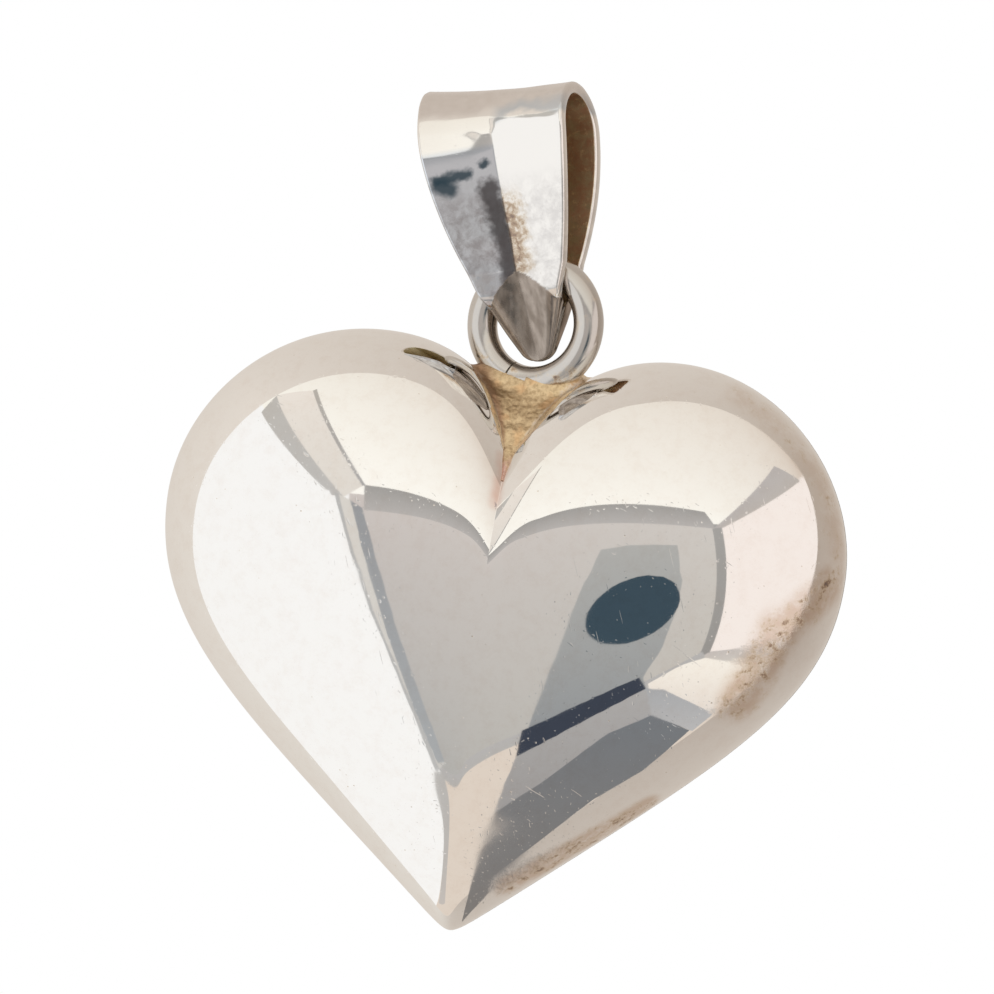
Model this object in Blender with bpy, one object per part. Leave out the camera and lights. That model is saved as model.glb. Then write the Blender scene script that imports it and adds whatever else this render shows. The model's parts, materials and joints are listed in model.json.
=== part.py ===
# Puffy heart pendant in silver: two pressed cups soldered rim to rim, a ring
# soldered into the cleft, and a folded bail that slides round that ring.
# Metres, Z up, front towards -Y. The origin is under the crest of the bail,
# where the chain lies.

import bpy
import bmesh
import numpy as np
from math import cos, pi, radians, sin, sqrt, tan
from mathutils import Vector

# Heart, measured up from its tip and out from its centre line
HEART_WIDTH = 0.0341
HEART_HEIGHT = 0.0293
HEART_THICKNESS = 0.0128
CLEFT_DEPTH = 0.0042
LOBE_SPACING = 0.0148       # between the tops of the two lobes
WIDEST_HEIGHT = 0.0197
DOME_CENTRE_HEIGHT = 0.0174
WALL = 0.0005
TIP_BLUNTING = 0.0003       # what rounding takes off the sharp tip
TIP_ROUNDING = 0.0036       # how far the inner contours stop short of the tip
VENT_DIAMETER = 0.0008
VENT_HEIGHT = 0.0128

# Fullness of the outline: handle lengths as shares of the span they bend
CLEFT_FLARE = 0.25
CLEFT_RISE = 0.55
LOBE_INNER_FULLNESS = 0.46
LOBE_TOP_FULLNESS = 0.55
LOBE_SIDE_FULLNESS = 0.52
FLANK_FULLNESS = 0.36
TIP_REACH = 0.5
TIP_SLOPE = radians(40.7)
BELLY_FULLNESS = 0.42
TIP_SHARPENING = 4          # how late the contours take on the sharp tip

# Seam between the cups
SEAM_GAP = 0.0002
SEAM_RECESS = 0.00005

# Ring in the cleft
RING_INNER_DIAMETER = 0.0042
RING_WIRE = 0.0015
RING_SPLIT = 0.0001
RING_SPLIT_ANGLE = radians(19)
RING_TWIST = radians(16)

# Bail: a creased strap, folded over and pinched at its tip
BAIL_LENGTH = 0.0139
BAIL_WIDTH = 0.0079
BAIL_TIP_WIDTH = 0.0012
BAIL_TIP_ROUND = 0.00045
BAIL_DEPTH = 0.0052
BAIL_SHEET = 0.00065
BAIL_RIDGE = 0.0002         # how far the middle stands out at the tip
BAIL_VALLEY = 0.0003        # how far it dips in above the ring's wire
CREASE_TURN_LENGTH = 0.002  # over which the ridge turns into the valley
CREASE_FADE_LENGTH = 0.0022 # over which the valley runs out on the crest
BAIL_PINCH_LENGTH = 0.0026
BAIL_FLARE_LENGTH = 0.008
BAIL_TAPER = 2.15
BAIL_SKEW = radians(6.8)    # the fold runs a little aslant
BAIL_LEAN = radians(17)
BAIL_EDGE_ROUND = 0.00012
TIP_SOLDER_THICKNESS = 0.0002
TIP_SOLDER_SETBACK = 0.0003
TIP_SHEET = 0.00015         # what the file leaves of the sheet at the tip
FACET_LENGTH = 0.0043
FACET_CURVE = 1.9

# Solder in the cleft
SOLDER_FRONT_SWEEP = radians(52)
SOLDER_REAR_SWEEP = radians(42)
SOLDER_CLIMB_SHARE = 0.54   # how far it climbs the inner flank of each lobe
SOLDER_TAIL_SHARE = 0.05
SOLDER_FILL_SHARE = 0.85
SOLDER_EDGE = 0.00008

# Room between pieces that touch
FIT = 0.00005
RING_TO_LOBE = 0.0001
RING_RUNNING_FIT = 0.00008
TIP_TO_RING = 0.00025

CLEFT_STEPS = 7
LOBE_STEPS = 8
FLANK_STEPS = 14
DOME_STEPS = 11
LINING_STEPS = 6
RING_STEPS = 49
WIRE_SIDES = 16
SOLDER_STEPS = 8
PLATE_STEPS = 28
CREST_STEPS = 12

ring_radius = (RING_INNER_DIAMETER + RING_WIRE) / 2
ring_outer_radius = ring_radius + RING_WIRE / 2
bail_half_gap = BAIL_DEPTH / 2 - BAIL_SHEET
pinch_half_gap = TIP_SOLDER_THICKNESS / 2 + FIT
bail_tip_to_centre = RING_INNER_DIAMETER / 2 - TIP_TO_RING
bail_tip_z = BAIL_SHEET - BAIL_LENGTH


def clear_scene():
    for item in list(bpy.data.objects):
        bpy.data.objects.remove(item, do_unlink=True)


def metal(name, colour, roughness, metallic=1.0):
    material = bpy.data.materials.new(name)
    material.use_nodes = True
    shader = material.node_tree.nodes["Principled BSDF"]
    shader.inputs["Base Color"].default_value = (*colour, 1)
    shader.inputs["Roughness"].default_value = roughness
    shader.inputs["Metallic"].default_value = metallic
    return material


def add_object(name, bm, material, sharp_angle=radians(35)):
    bmesh.ops.recalc_face_normals(bm, faces=bm.faces)
    mesh = bpy.data.meshes.new(name)
    bm.to_mesh(mesh)
    bm.free()
    mesh.shade_smooth()
    mesh.set_sharp_from_angle(angle=sharp_angle)
    mesh.materials.append(material)
    item = bpy.data.objects.new(name, mesh)
    bpy.context.collection.objects.link(item)
    return item


def add_cutter(name, bm):
    bmesh.ops.recalc_face_normals(bm, faces=bm.faces)
    mesh = bpy.data.meshes.new(name)
    bm.to_mesh(mesh)
    bm.free()
    cutter = bpy.data.objects.new(name, mesh)
    bpy.context.collection.objects.link(cutter)
    cutter.hide_render = True
    cutter.display_type = 'WIRE'
    return cutter


def cut(item, cutter):
    boolean = item.modifiers.new(cutter.name, 'BOOLEAN')
    boolean.operation = 'DIFFERENCE'
    boolean.object = cutter


def loft(rings, closed=False):
    # Joins loops of equal length with quads, and caps the ends of an open run
    bm = bmesh.new()
    loops = [[bm.verts.new(point) for point in ring] for ring in rings]
    pairs = list(zip(loops, loops[1:]))
    if closed:
        pairs.append((loops[-1], loops[0]))
    for low, high in pairs:
        count = len(low)
        for i in range(count):
            j = (i + 1) % count
            bm.faces.new((low[i], low[j], high[j], high[i]))
    if not closed:
        bm.faces.new(loops[0])
        bm.faces.new(loops[-1])
    return bm


def cubic(start, handle, next_handle, end, t):
    r = 1 - t
    return (r**3 * np.array(start) + 3 * r * r * t * np.array(handle)
            + 3 * r * t * t * np.array(next_handle) + t**3 * np.array(end))


# Heart outline: cleft to lobe top, round the lobe, and down the flank

cleft = (0, HEART_HEIGHT - CLEFT_DEPTH)
lobe_top = (LOBE_SPACING / 2, HEART_HEIGHT)
widest = (HEART_WIDTH / 2, WIDEST_HEIGHT)
lobe_reach = widest[0] - lobe_top[0]
lobe_drop = lobe_top[1] - widest[1]


def cleft_curve(t):
    rise = (CLEFT_FLARE * lobe_top[0], cleft[1] + CLEFT_RISE * CLEFT_DEPTH)
    level = (lobe_top[0] * (1 - LOBE_INNER_FULLNESS), lobe_top[1])
    return cubic(cleft, rise, level, lobe_top, t)


def lobe_curve(t):
    over = (lobe_top[0] + LOBE_TOP_FULLNESS * lobe_reach, lobe_top[1])
    down = (widest[0], widest[1] + LOBE_SIDE_FULLNESS * lobe_drop)
    return cubic(lobe_top, over, down, widest, t)


def flank_curve(t):
    down = (widest[0], widest[1] * (1 - FLANK_FULLNESS))
    reach = TIP_REACH * HEART_HEIGHT
    slope = (reach * cos(TIP_SLOPE), reach * sin(TIP_SLOPE) - TIP_BLUNTING)
    x, z = cubic(widest, down, slope, (0, -TIP_BLUNTING), t)
    return np.array((x, np.hypot(z + TIP_BLUNTING, TIP_BLUNTING) - TIP_BLUNTING))


def belly_curve(t):
    down = (widest[0], widest[1] * (1 - FLANK_FULLNESS))
    level = (BELLY_FULLNESS * widest[0], TIP_ROUNDING)
    return cubic(widest, down, level, (0, TIP_ROUNDING), t)


def half_outline(last_curve):
    # The steps grow closer towards the tip
    points = [cleft_curve(i / CLEFT_STEPS) for i in range(CLEFT_STEPS)]
    points += [lobe_curve(i / LOBE_STEPS) for i in range(LOBE_STEPS)]
    points += [last_curve(sin(pi / 2 * i / FLANK_STEPS)) for i in range(FLANK_STEPS + 1)]
    return points


def whole_outline(last_curve):
    right = half_outline(last_curve)
    left = [np.array((-x, z)) for x, z in right[-2:0:-1]]
    return np.array(right + left)


def inset(outline, distance):
    # Moves a clockwise outline inwards, with mitred corners
    ahead = np.roll(outline, -1, axis=0) - outline
    ahead /= np.linalg.norm(ahead, axis=1)[:, None]
    inward = np.column_stack((ahead[:, 1], -ahead[:, 0]))
    before = np.roll(inward, 1, axis=0)
    mitre = (inward + before) / (1 + (inward * before).sum(axis=1))[:, None]
    return outline + distance * mitre


# Puffed cups

dome_centre = np.array((0, DOME_CENTRE_HEIGHT))


def contour(sharp, soft, share):
    blend = share**TIP_SHARPENING
    shape = sharp * blend + soft * (1 - blend)
    return dome_centre + share * (shape - dome_centre)


def dome_rings(thin, steps, side):
    # Contours from the rim to just short of the centre, on the side of -Y or +Y
    sharp = inset(whole_outline(flank_curve), thin)
    soft = inset(whole_outline(belly_curve), thin)
    height = (HEART_THICKNESS - SEAM_GAP) / 2 - thin
    rings = []
    for i in range(steps):
        angle = pi / 2 * i / steps
        level = side * (SEAM_GAP / 2 + height * sin(angle))
        rings.append([(x, level, z) for x, z in contour(sharp, soft, cos(angle))])
    return rings, (dome_centre[0], side * (SEAM_GAP / 2 + height), dome_centre[1])


def close_on(bm, loop, peak):
    top = bm.verts.new(peak)
    for a, b in zip(loop, loop[1:] + loop[:1]):
        bm.faces.new((a, b, top))


def make_cup(name, side, material):
    outer, outer_peak = dome_rings(0, DOME_STEPS, side)
    inner, inner_peak = dome_rings(WALL, LINING_STEPS, side)
    bm = bmesh.new()
    loops = [[bm.verts.new(point) for point in ring] for ring in outer[::-1] + inner]
    for low, high in zip(loops, loops[1:]):
        for a, b, c, d in zip(low, low[1:] + low[:1], high[1:] + high[:1], high):
            bm.faces.new((a, b, c, d))
    close_on(bm, loops[0], outer_peak)
    close_on(bm, loops[-1], inner_peak)
    return add_object(name, bm, material)


def make_vent_drill():
    bm = bmesh.new()
    bmesh.ops.create_cone(bm, cap_ends=True, segments=16, radius1=VENT_DIAMETER / 2,
                          radius2=VENT_DIAMETER / 2, depth=HEART_THICKNESS / 2)
    drill = add_cutter("vent_drill", bm)
    drill.rotation_euler.x = pi / 2
    drill.location = (0, HEART_THICKNESS / 2, VENT_HEIGHT)
    return drill


def make_seam(material):
    half = SEAM_GAP / 2 - FIT
    outer = inset(whole_outline(flank_curve), SEAM_RECESS)
    inner = inset(whole_outline(flank_curve), WALL)
    sides = ((outer, -half), (outer, half), (inner, half), (inner, -half))
    rings = [[(x, y, z) for x, z in outline] for outline, y in sides]
    return add_object("seam_solder", loft(rings, closed=True), material)


# Ring, seated between the lobes

def seat_ring():
    # Lowest centre at which the ring clears both lobes
    flank = np.array([cleft_curve(i / 200) for i in range(201)])
    reach = ring_outer_radius + RING_TO_LOBE
    height = cleft[1]
    while np.hypot(flank[:, 0], flank[:, 1] - height).min() < reach:
        height += FIT / 5
    return height


ring_height = seat_ring()


def wire_loops(wire_radius, start, sweep, count):
    # Circles of wire set round the ring's centre, about Y
    loops = []
    for i in range(count):
        around = start + sweep * i / (count - 1)
        loop = []
        for k in range(WIRE_SIDES):
            angle = 2 * pi * k / WIRE_SIDES
            reach = ring_radius + wire_radius * cos(angle)
            loop.append((reach * cos(around), wire_radius * sin(angle), reach * sin(around)))
        loops.append(loop)
    return loops


def make_ring(material):
    opening = RING_SPLIT / ring_radius
    start = -pi / 2 - RING_SPLIT_ANGLE + opening / 2
    loops = wire_loops(RING_WIRE / 2, start, 2 * pi - opening, RING_STEPS)
    return add_object("loop_ring", loft(loops), material)


def make_ring_bed():
    loops = wire_loops(RING_WIRE / 2 + FIT, 0, 2 * pi, RING_STEPS + 1)
    return add_cutter("ring_bed", loft(loops[:-1], closed=True))


# Solder run into the cleft and down the two valleys

def cleft_point(sweep, climb):
    # On the heart's skin: sweep turns from front to rear, climb goes up a lobe
    x, z = dome_centre + cos(sweep) * (cleft_curve(climb) - dome_centre)
    y = (HEART_THICKNESS - SEAM_GAP) / 2 * sin(sweep)
    if sweep:
        y += SEAM_GAP / 2 * (1 if sweep > 0 else -1)
    return np.array((x, y, z))


def skin_normal(sweep, climb):
    step = 0.01
    here = max(climb, step)
    along = cleft_point(sweep, here + step) - cleft_point(sweep, here)
    across = cleft_point(sweep + step, here) - cleft_point(sweep - step, here)
    normal = np.cross(along, across)
    normal /= np.linalg.norm(normal)
    if climb == 0:
        normal[0] = 0
        normal /= normal @ normal
    return normal


def mirrored(half):
    # Both sides of a section, from the left edge to the right one
    return [point * (-1, 1, 1) for point in half[:0:-1]] + half


def solder_section(sweep, limit):
    spread = 1 - abs(sweep) / limit
    climb = SOLDER_TAIL_SHARE + (SOLDER_CLIMB_SHARE - SOLDER_TAIL_SHARE) * spread
    shares = [i / 4 for i in range(5)]
    under = [cleft_point(sweep, climb * s) + FIT * skin_normal(sweep, climb * s) for s in shares]
    side = under[-1] * (1, 0, 0)
    level = under[-1] - side
    sag = under[0] + SOLDER_FILL_SHARE * (level - under[0])
    lift = SOLDER_EDGE * skin_normal(sweep, 0)
    over = [sag + lift + (level - sag) * s * s + side * s for s in shares]
    return mirrored(under) + mirrored(over)[::-1]


def make_cleft_solder(material):
    front = [(-SOLDER_FRONT_SWEEP * i / SOLDER_STEPS, SOLDER_FRONT_SWEEP)
             for i in range(SOLDER_STEPS - 1, -1, -1)]
    rear = [(SOLDER_REAR_SWEEP * i / SOLDER_STEPS, SOLDER_REAR_SWEEP)
            for i in range(1, SOLDER_STEPS)]
    sections = [solder_section(sweep, limit) for sweep, limit in front + rear]
    return add_object("cleft_solder", loft(sections), material)


# Bail

def bail_half_width(up):
    left = max(0, 1 - up / BAIL_LENGTH)
    taper = BAIL_TIP_WIDTH + (BAIL_WIDTH - BAIL_TIP_WIDTH) * (1 - left**BAIL_TAPER)
    short = max(0, BAIL_TIP_ROUND - up)
    return taper / 2 - BAIL_TIP_ROUND + sqrt(BAIL_TIP_ROUND**2 - short**2)


def wire_room(up):
    # Half the gap that the ring's wire needs inside the strap at this height
    height = up - bail_tip_to_centre
    if height < 0:
        return 0
    reach = RING_WIRE / 2 + RING_RUNNING_FIT
    needed = 0
    for i in range(21):
        across = bail_half_width(up) * i / 20
        offset = sqrt(height**2 + across**2) - ring_radius
        if abs(offset) < reach:
            needed = max(needed, sqrt(reach**2 - offset**2))
    return needed


def crease(up):
    # How far the middle of the strap stands out past its edges
    turned = min(1, max(0, (up - FACET_LENGTH) / CREASE_TURN_LENGTH))
    kept = min(1, (BAIL_LENGTH - BAIL_SHEET - up) / CREASE_FADE_LENGTH)
    return BAIL_RIDGE * (1 - turned) - BAIL_VALLEY * turned * kept


def bail_gap(up):
    # Half the gap between the plates: pinched, round the wire, then flaring
    opened = min(1, max(0, (up - BAIL_PINCH_LENGTH) / BAIL_FLARE_LENGTH))
    flare = pinch_half_gap + (bail_half_gap - pinch_half_gap) * sin(pi / 2 * opened)
    return max(flare, wire_room(up) + max(0, -crease(up)))


def strap_path():
    # Inner face of the strap in side view, with its outward direction:
    # up the front plate, over the crest and down the rear plate
    top = BAIL_LENGTH - BAIL_SHEET - bail_half_gap
    climb = [top * i / PLATE_STEPS for i in range(PLATE_STEPS)]
    front = [((-bail_gap(up), up), (-1, 0)) for up in climb]
    crest = []
    for i in range(CREST_STEPS + 1):
        angle = pi * i / CREST_STEPS
        out = (-cos(angle), sin(angle))
        crest.append(((bail_half_gap * out[0], top + bail_half_gap * out[1]), out))
    rear = [((-y, up), (1, 0)) for (y, up), out in front[::-1]]
    return front + crest + rear


def strap_section(place, out):
    half = bail_half_width(place[1])
    chamfer = BAIL_EDGE_ROUND
    outer = []
    inner = []
    for share in (-1, -0.6, -0.25, 0, 0.25, 0.6, 1):
        lift = crease(place[1]) * (1 - abs(share))
        x = share * (half - chamfer)
        outer.append((x, BAIL_SHEET + lift))
        inner.append((x, lift))
    right = [(half, BAIL_SHEET - chamfer), (half, chamfer)]
    left = [(-half, chamfer), (-half, BAIL_SHEET - chamfer)]
    section = []
    for x, lift in outer + right + inner[::-1] + left:
        up = place[1] + out[1] * lift
        slant = x * tan(BAIL_SKEW) * (up / BAIL_LENGTH)**2
        section.append((x, place[0] + out[0] * lift, bail_tip_z + up - slant))
    return section


def facet_depth(up):
    # Half the thickness that the file leaves of the pinched tip
    apex = bail_gap(FACET_LENGTH) + BAIL_SHEET + BAIL_RIDGE
    tip = pinch_half_gap + TIP_SHEET
    return tip + (apex - tip) * (up / FACET_LENGTH)**FACET_CURVE


def make_file(name, side):
    # Prism whose inner face is the hollow that is filed on one side of the tip
    hollow = [(facet_depth(FACET_LENGTH * i / 10), FACET_LENGTH * i / 10) for i in range(11)]
    below = -BAIL_TIP_ROUND
    profile = [(hollow[0][0], below)] + hollow + [(BAIL_DEPTH, FACET_LENGTH), (BAIL_DEPTH, below)]
    ends = []
    for x in (-BAIL_WIDTH, BAIL_WIDTH):
        ends.append([(x, side * y, bail_tip_z + up) for y, up in profile])
    return add_cutter(name, loft(ends))


def make_bail(material):
    sections = [strap_section(place, out) for place, out in strap_path()]
    bail = add_object("bail", loft(sections), material)
    for name, side in (("front_file", -1), ("rear_file", 1)):
        cutter = make_file(name, side)
        cutter.parent = bail
        cut(bail, cutter)
    return bail


def make_tip_solder(material):
    half = TIP_SOLDER_THICKNESS / 2
    rings = []
    for i in range(9):
        up = TIP_SOLDER_SETBACK + (BAIL_PINCH_LENGTH - 2 * TIP_SOLDER_SETBACK) * i / 8
        x = bail_half_width(up) - BAIL_EDGE_ROUND
        z = bail_tip_z + up
        rings.append([(-x, -half, z), (x, -half, z), (x, half, z), (-x, half, z)])
    return add_object("bail_tip_solder", loft(rings), material)


def make_pivot(bail):
    # Centre of the ring, with its Y along the ring's axis
    pivot = bpy.data.objects.new("ring_centre", None)
    bpy.context.collection.objects.link(pivot)
    drop = Vector((0, 0, bail_tip_z + bail_tip_to_centre))
    drop.rotate(bail.rotation_euler)
    pivot.location = drop
    pivot.rotation_euler.z = -RING_TWIST
    return pivot


def build():
    clear_scene()
    polished = metal("polished_silver", (0.86, 0.83, 0.79), 0.12)
    wire = metal("drawn_silver", (0.78, 0.76, 0.73), 0.25)
    rolled = metal("rolled_silver", (0.80, 0.78, 0.75), 0.22)
    fillet_metal = metal("cleft_solder", (0.55, 0.42, 0.24), 0.55)
    seam_metal = metal("seam_solder", (0.42, 0.40, 0.38), 0.45)
    tip_metal = metal("tip_solder", (0.50, 0.46, 0.42), 0.45)

    bail = make_bail(rolled)
    bail.rotation_euler = (0, -BAIL_LEAN, -RING_TWIST)
    make_tip_solder(tip_metal).parent = bail

    pivot = make_pivot(bail)
    bed = make_ring_bed()
    for item in (make_ring(wire), bed):
        item.parent = pivot

    front = make_cup("front_shell", -1, polished)
    rear = make_cup("rear_shell", 1, polished)
    fillet = make_cleft_solder(fillet_metal)
    drill = make_vent_drill()
    cut(rear, drill)
    cut(fillet, bed)
    for item in (front, rear, make_seam(seam_metal), fillet, drill):
        item.parent = pivot
        item.rotation_euler.z += RING_TWIST
        item.location.z -= ring_height


build()
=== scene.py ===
import json
from math import atan2, cos, degrees, pi, radians, sin, sqrt, tan

import bmesh
import bpy
import numpy as np
from mathutils import Matrix, Vector, noise
from mathutils.bvhtree import BVHTree


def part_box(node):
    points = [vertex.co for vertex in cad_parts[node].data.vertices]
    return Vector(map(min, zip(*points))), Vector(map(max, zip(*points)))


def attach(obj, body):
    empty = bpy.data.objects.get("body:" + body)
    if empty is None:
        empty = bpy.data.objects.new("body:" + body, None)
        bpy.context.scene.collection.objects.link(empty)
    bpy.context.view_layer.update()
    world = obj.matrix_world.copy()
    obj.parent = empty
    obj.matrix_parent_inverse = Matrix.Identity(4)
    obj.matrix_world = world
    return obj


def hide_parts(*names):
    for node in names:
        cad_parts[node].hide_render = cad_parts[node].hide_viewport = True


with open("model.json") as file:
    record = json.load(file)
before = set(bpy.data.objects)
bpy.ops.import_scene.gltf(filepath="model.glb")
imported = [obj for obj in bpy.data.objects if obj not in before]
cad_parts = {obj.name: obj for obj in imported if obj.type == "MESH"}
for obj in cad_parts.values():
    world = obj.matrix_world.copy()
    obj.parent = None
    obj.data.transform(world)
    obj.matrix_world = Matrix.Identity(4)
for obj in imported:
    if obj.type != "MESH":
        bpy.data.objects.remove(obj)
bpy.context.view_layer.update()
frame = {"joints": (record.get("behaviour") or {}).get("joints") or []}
mm = 0.001

# Where the heart hangs: tip, middle plane and the ring's hinge, all read from the frame
hinge = frame["joints"][0]
ringCentre = Vector(hinge["pos_m"])
ringAxis = Vector(hinge["axis"]).normalized()
frontLow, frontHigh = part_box("front_shell")
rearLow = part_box("rear_shell")[0]
heartTip = Vector(((frontLow.x + frontHigh.x) / 2, (frontHigh.y + rearLow.y) / 2, frontLow.z))
ringYaw = atan2(-ringAxis.x, ringAxis.y)
toHeart = Matrix.Translation(heartTip)
print("frame: heart tip", [round(c / mm, 2) for c in heartTip], "ring turned", round(degrees(ringYaw), 1))


# Mesh helpers

def linkObject(name, data=None):
    if data is None:
        data = bpy.data.meshes.new(name)
    item = bpy.data.objects.new(name, data)
    bpy.context.scene.collection.objects.link(item)
    return item


def tidyNormals(mesh, merge=0.0):
    # Faces point outwards; points nearer than merge become one
    bm = bmesh.new()
    bm.from_mesh(mesh)
    if merge:
        bmesh.ops.remove_doubles(bm, verts=bm.verts, dist=merge)
    bmesh.ops.recalc_face_normals(bm, faces=bm.faces)
    bm.to_mesh(mesh)
    bm.free()
    mesh.shade_smooth()


def meshObject(name, vertices, faces):
    mesh = bpy.data.meshes.new(name)
    mesh.from_pydata([tuple(v) for v in vertices], [], faces)
    tidyNormals(mesh)
    return linkObject(name, mesh)


def loftRings(name, rings):
    # Rings of equal length joined with quads, with a flat face at each end
    count = len(rings[0])
    total = len(rings)
    faces = []
    for a in range(0, (total - 1) * count, count):
        b = a + count
        faces += [(a + i, a + (i + 1) % count, b + (i + 1) % count, b + i) for i in range(count)]
    faces += [tuple(range(count)), tuple(range((total - 1) * count, total * count))]
    return meshObject(name, [point for ring in rings for point in ring], faces)


def circle(radius, count):
    # Points round a circle, as pairs
    return [(radius * cos(2 * pi * k / count), radius * sin(2 * pi * k / count)) for k in range(count)]


def bakeModifiers(item):
    # Turns the evaluated result into the object's own plain mesh
    bpy.context.view_layer.update()
    evaluated = item.evaluated_get(bpy.context.evaluated_depsgraph_get())
    mesh = bpy.data.meshes.new_from_object(evaluated)
    name = item.name
    bpy.data.objects.remove(item)
    mesh.name = name
    return linkObject(name, mesh)


def placeMesh(item, matrix):
    item.data.transform(matrix)
    item.data.update()
    return item


def keepValues(item, name, values):
    # One number for each point, which the material reads
    layer = item.data.attributes.new(name, "FLOAT", "POINT")
    layer.data.foreach_set("value", np.array(values, dtype=np.float32))


def smoothStep(low, high, value):
    t = np.clip((value - low) / (high - low), 0, 1)
    return t * t * (3 - 2 * t)


def cubic(a, b, c, d, t):
    r = 1 - t
    return r**3 * np.array(a) + 3 * r * r * t * np.array(b) + 3 * r * t * t * np.array(c) + t**3 * np.array(d)


# Node helpers

socketTypes = {float: "NodeSocketFloat", int: "NodeSocketInt", tuple: "NodeSocketColor",
               type(None): "NodeSocketObject"}


class Wiring:
    # Adds nodes to one tree and joins them up
    def __init__(self, tree):
        self.tree = tree

    def feed(self, socket, value):
        # A socket is linked, a value is set; a colour of three numbers is opaque
        if isinstance(value, bpy.types.NodeSocket):
            self.tree.links.new(value, socket)
        else:
            socket.default_value = (*value, 1) if socket.type == "RGBA" and len(value) == 3 else value

    def put(self, kind, inputs=None, **settings):
        node = self.tree.nodes.new(kind)
        for key, value in settings.items():
            setattr(node, key, value)
        for key, value in (inputs or {}).items():
            self.feed(node.inputs[key], value)
        return node

    def out(self, kind, inputs=None, **settings):
        return self.put(kind, inputs, **settings).outputs[0]

    def math(self, operation, *values, clamp=False):
        return self.out("ShaderNodeMath", dict(enumerate(values)), operation=operation, use_clamp=clamp)

    def minus(self, a, b):
        return self.math("SUBTRACT", a, b)

    def chain(self, operation, values):
        result, *others = values
        for other in others:
            result = self.math(operation, result, other)
        return result

    def plus(self, *values):
        return self.chain("ADD", values)

    def times(self, *values):
        return self.chain("MULTIPLY", values)

    def most(self, *values):
        return self.chain("MAXIMUM", values)

    def weighed(self, *terms):
        # Sum of values, each times its weight
        return self.plus(*(self.times(value, weight) for value, weight in terms))

    def vector(self, operation, *values):
        node = self.put("ShaderNodeVectorMath", dict(enumerate(values)), operation=operation)
        return node.outputs["Value" if operation in ("LENGTH", "DISTANCE", "DOT_PRODUCT") else "Vector"]

    def scaled(self, vector, factor):
        return self.out("ShaderNodeVectorMath", {0: vector, "Scale": factor}, operation="SCALE")

    def compose(self, x=0.0, y=0.0, z=0.0):
        return self.out("ShaderNodeCombineXYZ", {"X": x, "Y": y, "Z": z})

    def split(self, vector):
        return self.put("ShaderNodeSeparateXYZ", {0: vector}).outputs

    def band(self, value, low, high, start=0.0, end=1.0):
        # Eased step of a value between low and high
        return self.out("ShaderNodeMapRange", {"Value": value, "From Min": low, "From Max": high, "To Min": start,
                                               "To Max": end}, interpolation_type="SMOOTHSTEP")

    def noise(self, vector, scale, detail=3.0, roughness=0.5, distortion=0.0):
        return self.out("ShaderNodeTexNoise", {"Vector": vector, "Scale": scale, "Detail": detail,
                                               "Roughness": roughness, "Distortion": distortion})

    def drift(self, vector, scale, detail, amount):
        # Small shift to any side that varies from place to place
        node = self.put("ShaderNodeTexNoise", {"Vector": vector, "Scale": scale, "Detail": detail})
        return self.scaled(self.vector("SUBTRACT", node.outputs["Color"], (0.5, 0.5, 0.5)), amount)

    def cells(self, vector, scale):
        return self.put("ShaderNodeTexVoronoi", {"Vector": vector, "Scale": scale}).outputs["Distance"]

    def blend(self, mask, a, b):
        return self.put("ShaderNodeMix", {0: mask, 6: a, 7: b}, data_type="RGBA").outputs[2]

    def attribute(self, name, output="Fac"):
        return self.put("ShaderNodeAttribute", attribute_name=name).outputs[output]


def newTree(name, inputs, outputs, kind="GeometryNodeTree"):
    # Inputs by name and starting value, outputs by name and type
    tree = bpy.data.node_groups.new(name, kind)
    for socketName, value in inputs.items():
        socket = tree.interface.new_socket(socketName, in_out="INPUT", socket_type=socketTypes[type(value)])
        if value is not None:
            socket.default_value = value
    for socketName, socketType in outputs.items():
        tree.interface.new_socket(socketName, in_out="OUTPUT", socket_type=socketType)
    return Wiring(tree), tree.nodes.new("NodeGroupInput").outputs, tree.nodes.new("NodeGroupOutput").inputs


def newGeometryTree(name, inputs):
    w, given, made = newTree(name, inputs, {"Geometry": "NodeSocketGeometry"})
    return w, given, made[0]


def endTree(w, socket, geometry):
    whole = w.out("GeometryNodeRealizeInstances", {"Geometry": geometry})
    w.feed(socket, w.out("GeometryNodeSetMaterial", {"Geometry": whole}))
    return w.tree


def roughened(w, geometry, scale, detail, middle, amount):
    # Lifts the surface along its normal by a noise, less its middle value
    rough = w.minus(w.noise(w.out("GeometryNodeInputPosition"), scale, detail), middle)
    lift = w.scaled(w.out("GeometryNodeInputNormal"), w.times(rough, amount))
    return w.out("GeometryNodeSetPosition", {"Geometry": geometry, "Offset": lift})


def grow(name, tree, values):
    # Plain mesh that a geometry tree makes with these inputs
    item = linkObject(name)
    modifier = item.modifiers.new(tree.name, "NODES")
    modifier.node_group = tree
    sockets = {s.name: s.identifier for s in tree.interface.items_tree if s.in_out == "INPUT"}
    for key, value in values.items():
        modifier[sockets[key]] = value
    return bakeModifiers(item)


# Heart: two puffed cups over one outline

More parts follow.
